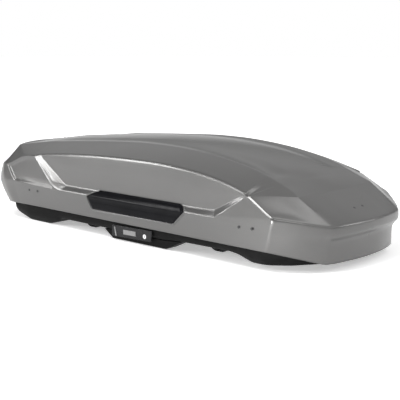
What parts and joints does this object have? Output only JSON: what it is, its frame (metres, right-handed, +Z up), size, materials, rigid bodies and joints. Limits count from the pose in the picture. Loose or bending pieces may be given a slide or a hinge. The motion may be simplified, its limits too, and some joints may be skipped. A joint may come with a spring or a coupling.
{
  "type": "roof cargo box",
  "caption": "Wedge-nosed car roof cargo box with a side-opening ribbed lid, gas struts, key lock, latch bar and crossbar clamps under a deep tray.",
  "frame": {"origin": "bottom centre of the closed box", "axes": "+X towards the nose, +Y towards the hinge side, +Z up"},
  "size_m": [2.189, 0.929, 0.479],
  "materials": {
    "lid_skin": "satin metallic titanium grey",
    "base_skin": "fine grained black",
    "gloss_black": "gloss",
    "black_plastic": "satin",
    "grey_plastic": "matt",
    "steel": "zinc plated",
    "chrome": "polished",
    "dark_steel": "black paint",
    "alu": "brushed",
    "rubber": "matt",
    "webbing": "woven"
  },
  "bodies": {
    "base": {"base_shell": "base_skin", "rail_near": "steel", "rail_far": "steel", "floor_channels": "steel", "clamp_housing_rear_near": "black_plastic", "clamp_housing_rear_far": "black_plastic", "clamp_housing_front_near": "black_plastic", "clamp_housing_front_far": "black_plastic", "claw_pins_rear_near": "steel", "claw_pins_rear_far": "steel", "claw_pins_front_near": "steel", "claw_pins_front_far": "steel", "hinge_base_knuckles": "dark_steel", "hinge_pins": "steel", "strut_base_brackets": "dark_steel", "lock_console": "base_skin", "far_console": "base_skin", "lock_face_panel": "base_skin", "label_plate": "grey_plastic", "slanted_mark": "grey_plastic", "latch_guides": "black_plastic", "bar_pads": "rubber", "strap_rear": "webbing", "strap_middle": "webbing", "strap_front": "webbing", "strap_anchors": "black_plastic", "strap_buckles": "black_plastic"},
    "lid": {"lid_shell": "lid_skin", "grab_trim_near": "gloss_black", "grab_trim_far": "gloss_black", "side_screws": "dark_steel", "nose_screws": "dark_steel", "lid_stiffener_front": "alu", "lid_stiffener_rear": "alu", "hinge_lid_leaves": "dark_steel", "strut_lid_brackets": "dark_steel", "lid_strikers": "steel"},
    "strut_rear_body": {"strut_cylinder_rear": "dark_steel"},
    "strut_rear_piston": {"strut_rod_rear": "chrome"},
    "strut_front_body": {"strut_cylinder_front": "dark_steel"},
    "strut_front_piston": {"strut_rod_front": "chrome"},
    "lock": {"lock_plug": "chrome", "lock_cam": "steel"},
    "latch": {"latch_bar": "steel"},
    "knob_rear_near": {"clamp_knob_rear_near": "black_plastic"},
    "claw_rear_near_a_arm": {"claw_rear_near_a": "black_plastic"},
    "claw_rear_near_b_arm": {"claw_rear_near_b": "black_plastic"},
    "knob_rear_far": {"clamp_knob_rear_far": "black_plastic"},
    "claw_rear_far_a_arm": {"claw_rear_far_a": "black_plastic"},
    "claw_rear_far_b_arm": {"claw_rear_far_b": "black_plastic"},
    "knob_front_near": {"clamp_knob_front_near": "black_plastic"},
    "claw_front_near_a_arm": {"claw_front_near_a": "black_plastic"},
    "claw_front_near_b_arm": {"claw_front_near_b": "black_plastic"},
    "knob_front_far": {"clamp_knob_front_far": "black_plastic"},
    "claw_front_far_a_arm": {"claw_front_far_a": "black_plastic"},
    "claw_front_far_b_arm": {"claw_front_far_b": "black_plastic"}
  },
  "joints": [
    {"name": "lid_hinge", "type": "hinge", "parent": "base", "child": "lid", "pos_m": [0.0605, 0.44, 0.084], "axis": [-1, 0, 0], "range_deg": [0, 55]},
    {"name": "strut_rear_swing", "type": "hinge", "parent": "base", "child": "strut_rear_body", "pos_m": [-0.8995, 0.35, 0.084], "axis": [-1, 0, 0], "range_deg": [0, 53.66]},
    {"name": "strut_rear_stroke", "type": "slide", "parent": "strut_rear_body", "child": "strut_rear_piston", "axis": [0, -0.209, 0.9779], "range_m": [0, 0.0854]},
    {"name": "strut_front_swing", "type": "hinge", "parent": "base", "child": "strut_front_body", "pos_m": [0.6205, 0.35, 0.084], "axis": [-1, 0, 0], "range_deg": [0, 53.66]},
    {"name": "strut_front_stroke", "type": "slide", "parent": "strut_front_body", "child": "strut_front_piston", "axis": [0, -0.209, 0.9779], "range_m": [0, 0.0854]},
    {"name": "latch_slide", "type": "slide", "parent": "base", "child": "latch", "axis": [1, 0, 0], "range_m": [0, 0.02263]},
    {"name": "lock_turn", "type": "hinge", "parent": "base", "child": "lock", "pos_m": [0.1255, -0.424, 0.049], "axis": [0, 1, 0], "range_deg": [0, 91]},
    {"name": "knob_rear_near_turn", "type": "hinge", "parent": "base", "child": "knob_rear_near", "pos_m": [-0.3955, -0.3, 0.0875], "axis": [0, 0, 1], "range_deg": [0, 360]},
    {"name": "claw_rear_near_a_swing", "type": "hinge", "parent": "base", "child": "claw_rear_near_a_arm", "pos_m": [-0.4455, -0.3, 0.0445], "axis": [0, 1, 0], "range_deg": [0, 31]},
    {"name": "claw_rear_near_b_swing", "type": "hinge", "parent": "base", "child": "claw_rear_near_b_arm", "pos_m": [-0.3455, -0.3, 0.0445], "axis": [0, -1, 0], "range_deg": [0, 31]},
    {"name": "knob_rear_far_turn", "type": "hinge", "parent": "base", "child": "knob_rear_far", "pos_m": [-0.3955, 0.3, 0.0875], "axis": [0, 0, 1], "range_deg": [0, 360]},
    {"name": "claw_rear_far_a_swing", "type": "hinge", "parent": "base", "child": "claw_rear_far_a_arm", "pos_m": [-0.4455, 0.3, 0.0445], "axis": [0, 1, 0], "range_deg": [0, 31]},
    {"name": "claw_rear_far_b_swing", "type": "hinge", "parent": "base", "child": "claw_rear_far_b_arm", "pos_m": [-0.3455, 0.3, 0.0445], "axis": [0, -1, 0], "range_deg": [0, 31]},
    {"name": "knob_front_near_turn", "type": "hinge", "parent": "base", "child": "knob_front_near", "pos_m": [0.4805, -0.3, 0.09886], "axis": [0, 0, 1], "range_deg": [0, 360]},
    {"name": "claw_front_near_a_swing", "type": "hinge", "parent": "base", "child": "claw_front_near_a_arm", "pos_m": [0.4305, -0.3, 0.05586], "axis": [0, 1, 0], "range_deg": [0, 31]},
    {"name": "claw_front_near_b_swing", "type": "hinge", "parent": "base", "child": "claw_front_near_b_arm", "pos_m": [0.5305, -0.3, 0.05586], "axis": [0, -1, 0], "range_deg": [0, 31]},
    {"name": "knob_front_far_turn", "type": "hinge", "parent": "base", "child": "knob_front_far", "pos_m": [0.4805, 0.3, 0.09886], "axis": [0, 0, 1], "range_deg": [0, 360]},
    {"name": "claw_front_far_a_swing", "type": "hinge", "parent": "base", "child": "claw_front_far_a_arm", "pos_m": [0.4305, 0.3, 0.05586], "axis": [0, 1, 0], "range_deg": [0, 31]},
    {"name": "claw_front_far_b_swing", "type": "hinge", "parent": "base", "child": "claw_front_far_b_arm", "pos_m": [0.5305, 0.3, 0.05586], "axis": [0, -1, 0], "range_deg": [0, 31]}
  ],
  "couplings": [
    {"joint": "strut_rear_swing", "follows": "lid_hinge", "ratio": 0.9575},
    {"joint": "strut_rear_stroke", "follows": "lid_hinge", "m_per_rad": 0.08684},
    {"joint": "strut_front_swing", "follows": "lid_hinge", "ratio": 0.9575},
    {"joint": "strut_front_stroke", "follows": "lid_hinge", "m_per_rad": 0.08684},
    {"joint": "lock_turn", "follows": "latch_slide", "rad_per_m": 69.42},
    {"joint": "claw_rear_near_a_swing", "follows": "knob_rear_near_turn", "ratio": 0.083333},
    {"joint": "claw_rear_near_b_swing", "follows": "knob_rear_near_turn", "ratio": 0.083333},
    {"joint": "claw_rear_far_a_swing", "follows": "knob_rear_far_turn", "ratio": 0.083333},
    {"joint": "claw_rear_far_b_swing", "follows": "knob_rear_far_turn", "ratio": 0.083333},
    {"joint": "claw_front_near_a_swing", "follows": "knob_front_near_turn", "ratio": 0.083333},
    {"joint": "claw_front_near_b_swing", "follows": "knob_front_near_turn", "ratio": 0.083333},
    {"joint": "claw_front_far_a_swing", "follows": "knob_front_far_turn", "ratio": 0.083333},
    {"joint": "claw_front_far_b_swing", "follows": "knob_front_far_turn", "ratio": 0.083333}
  ]
}
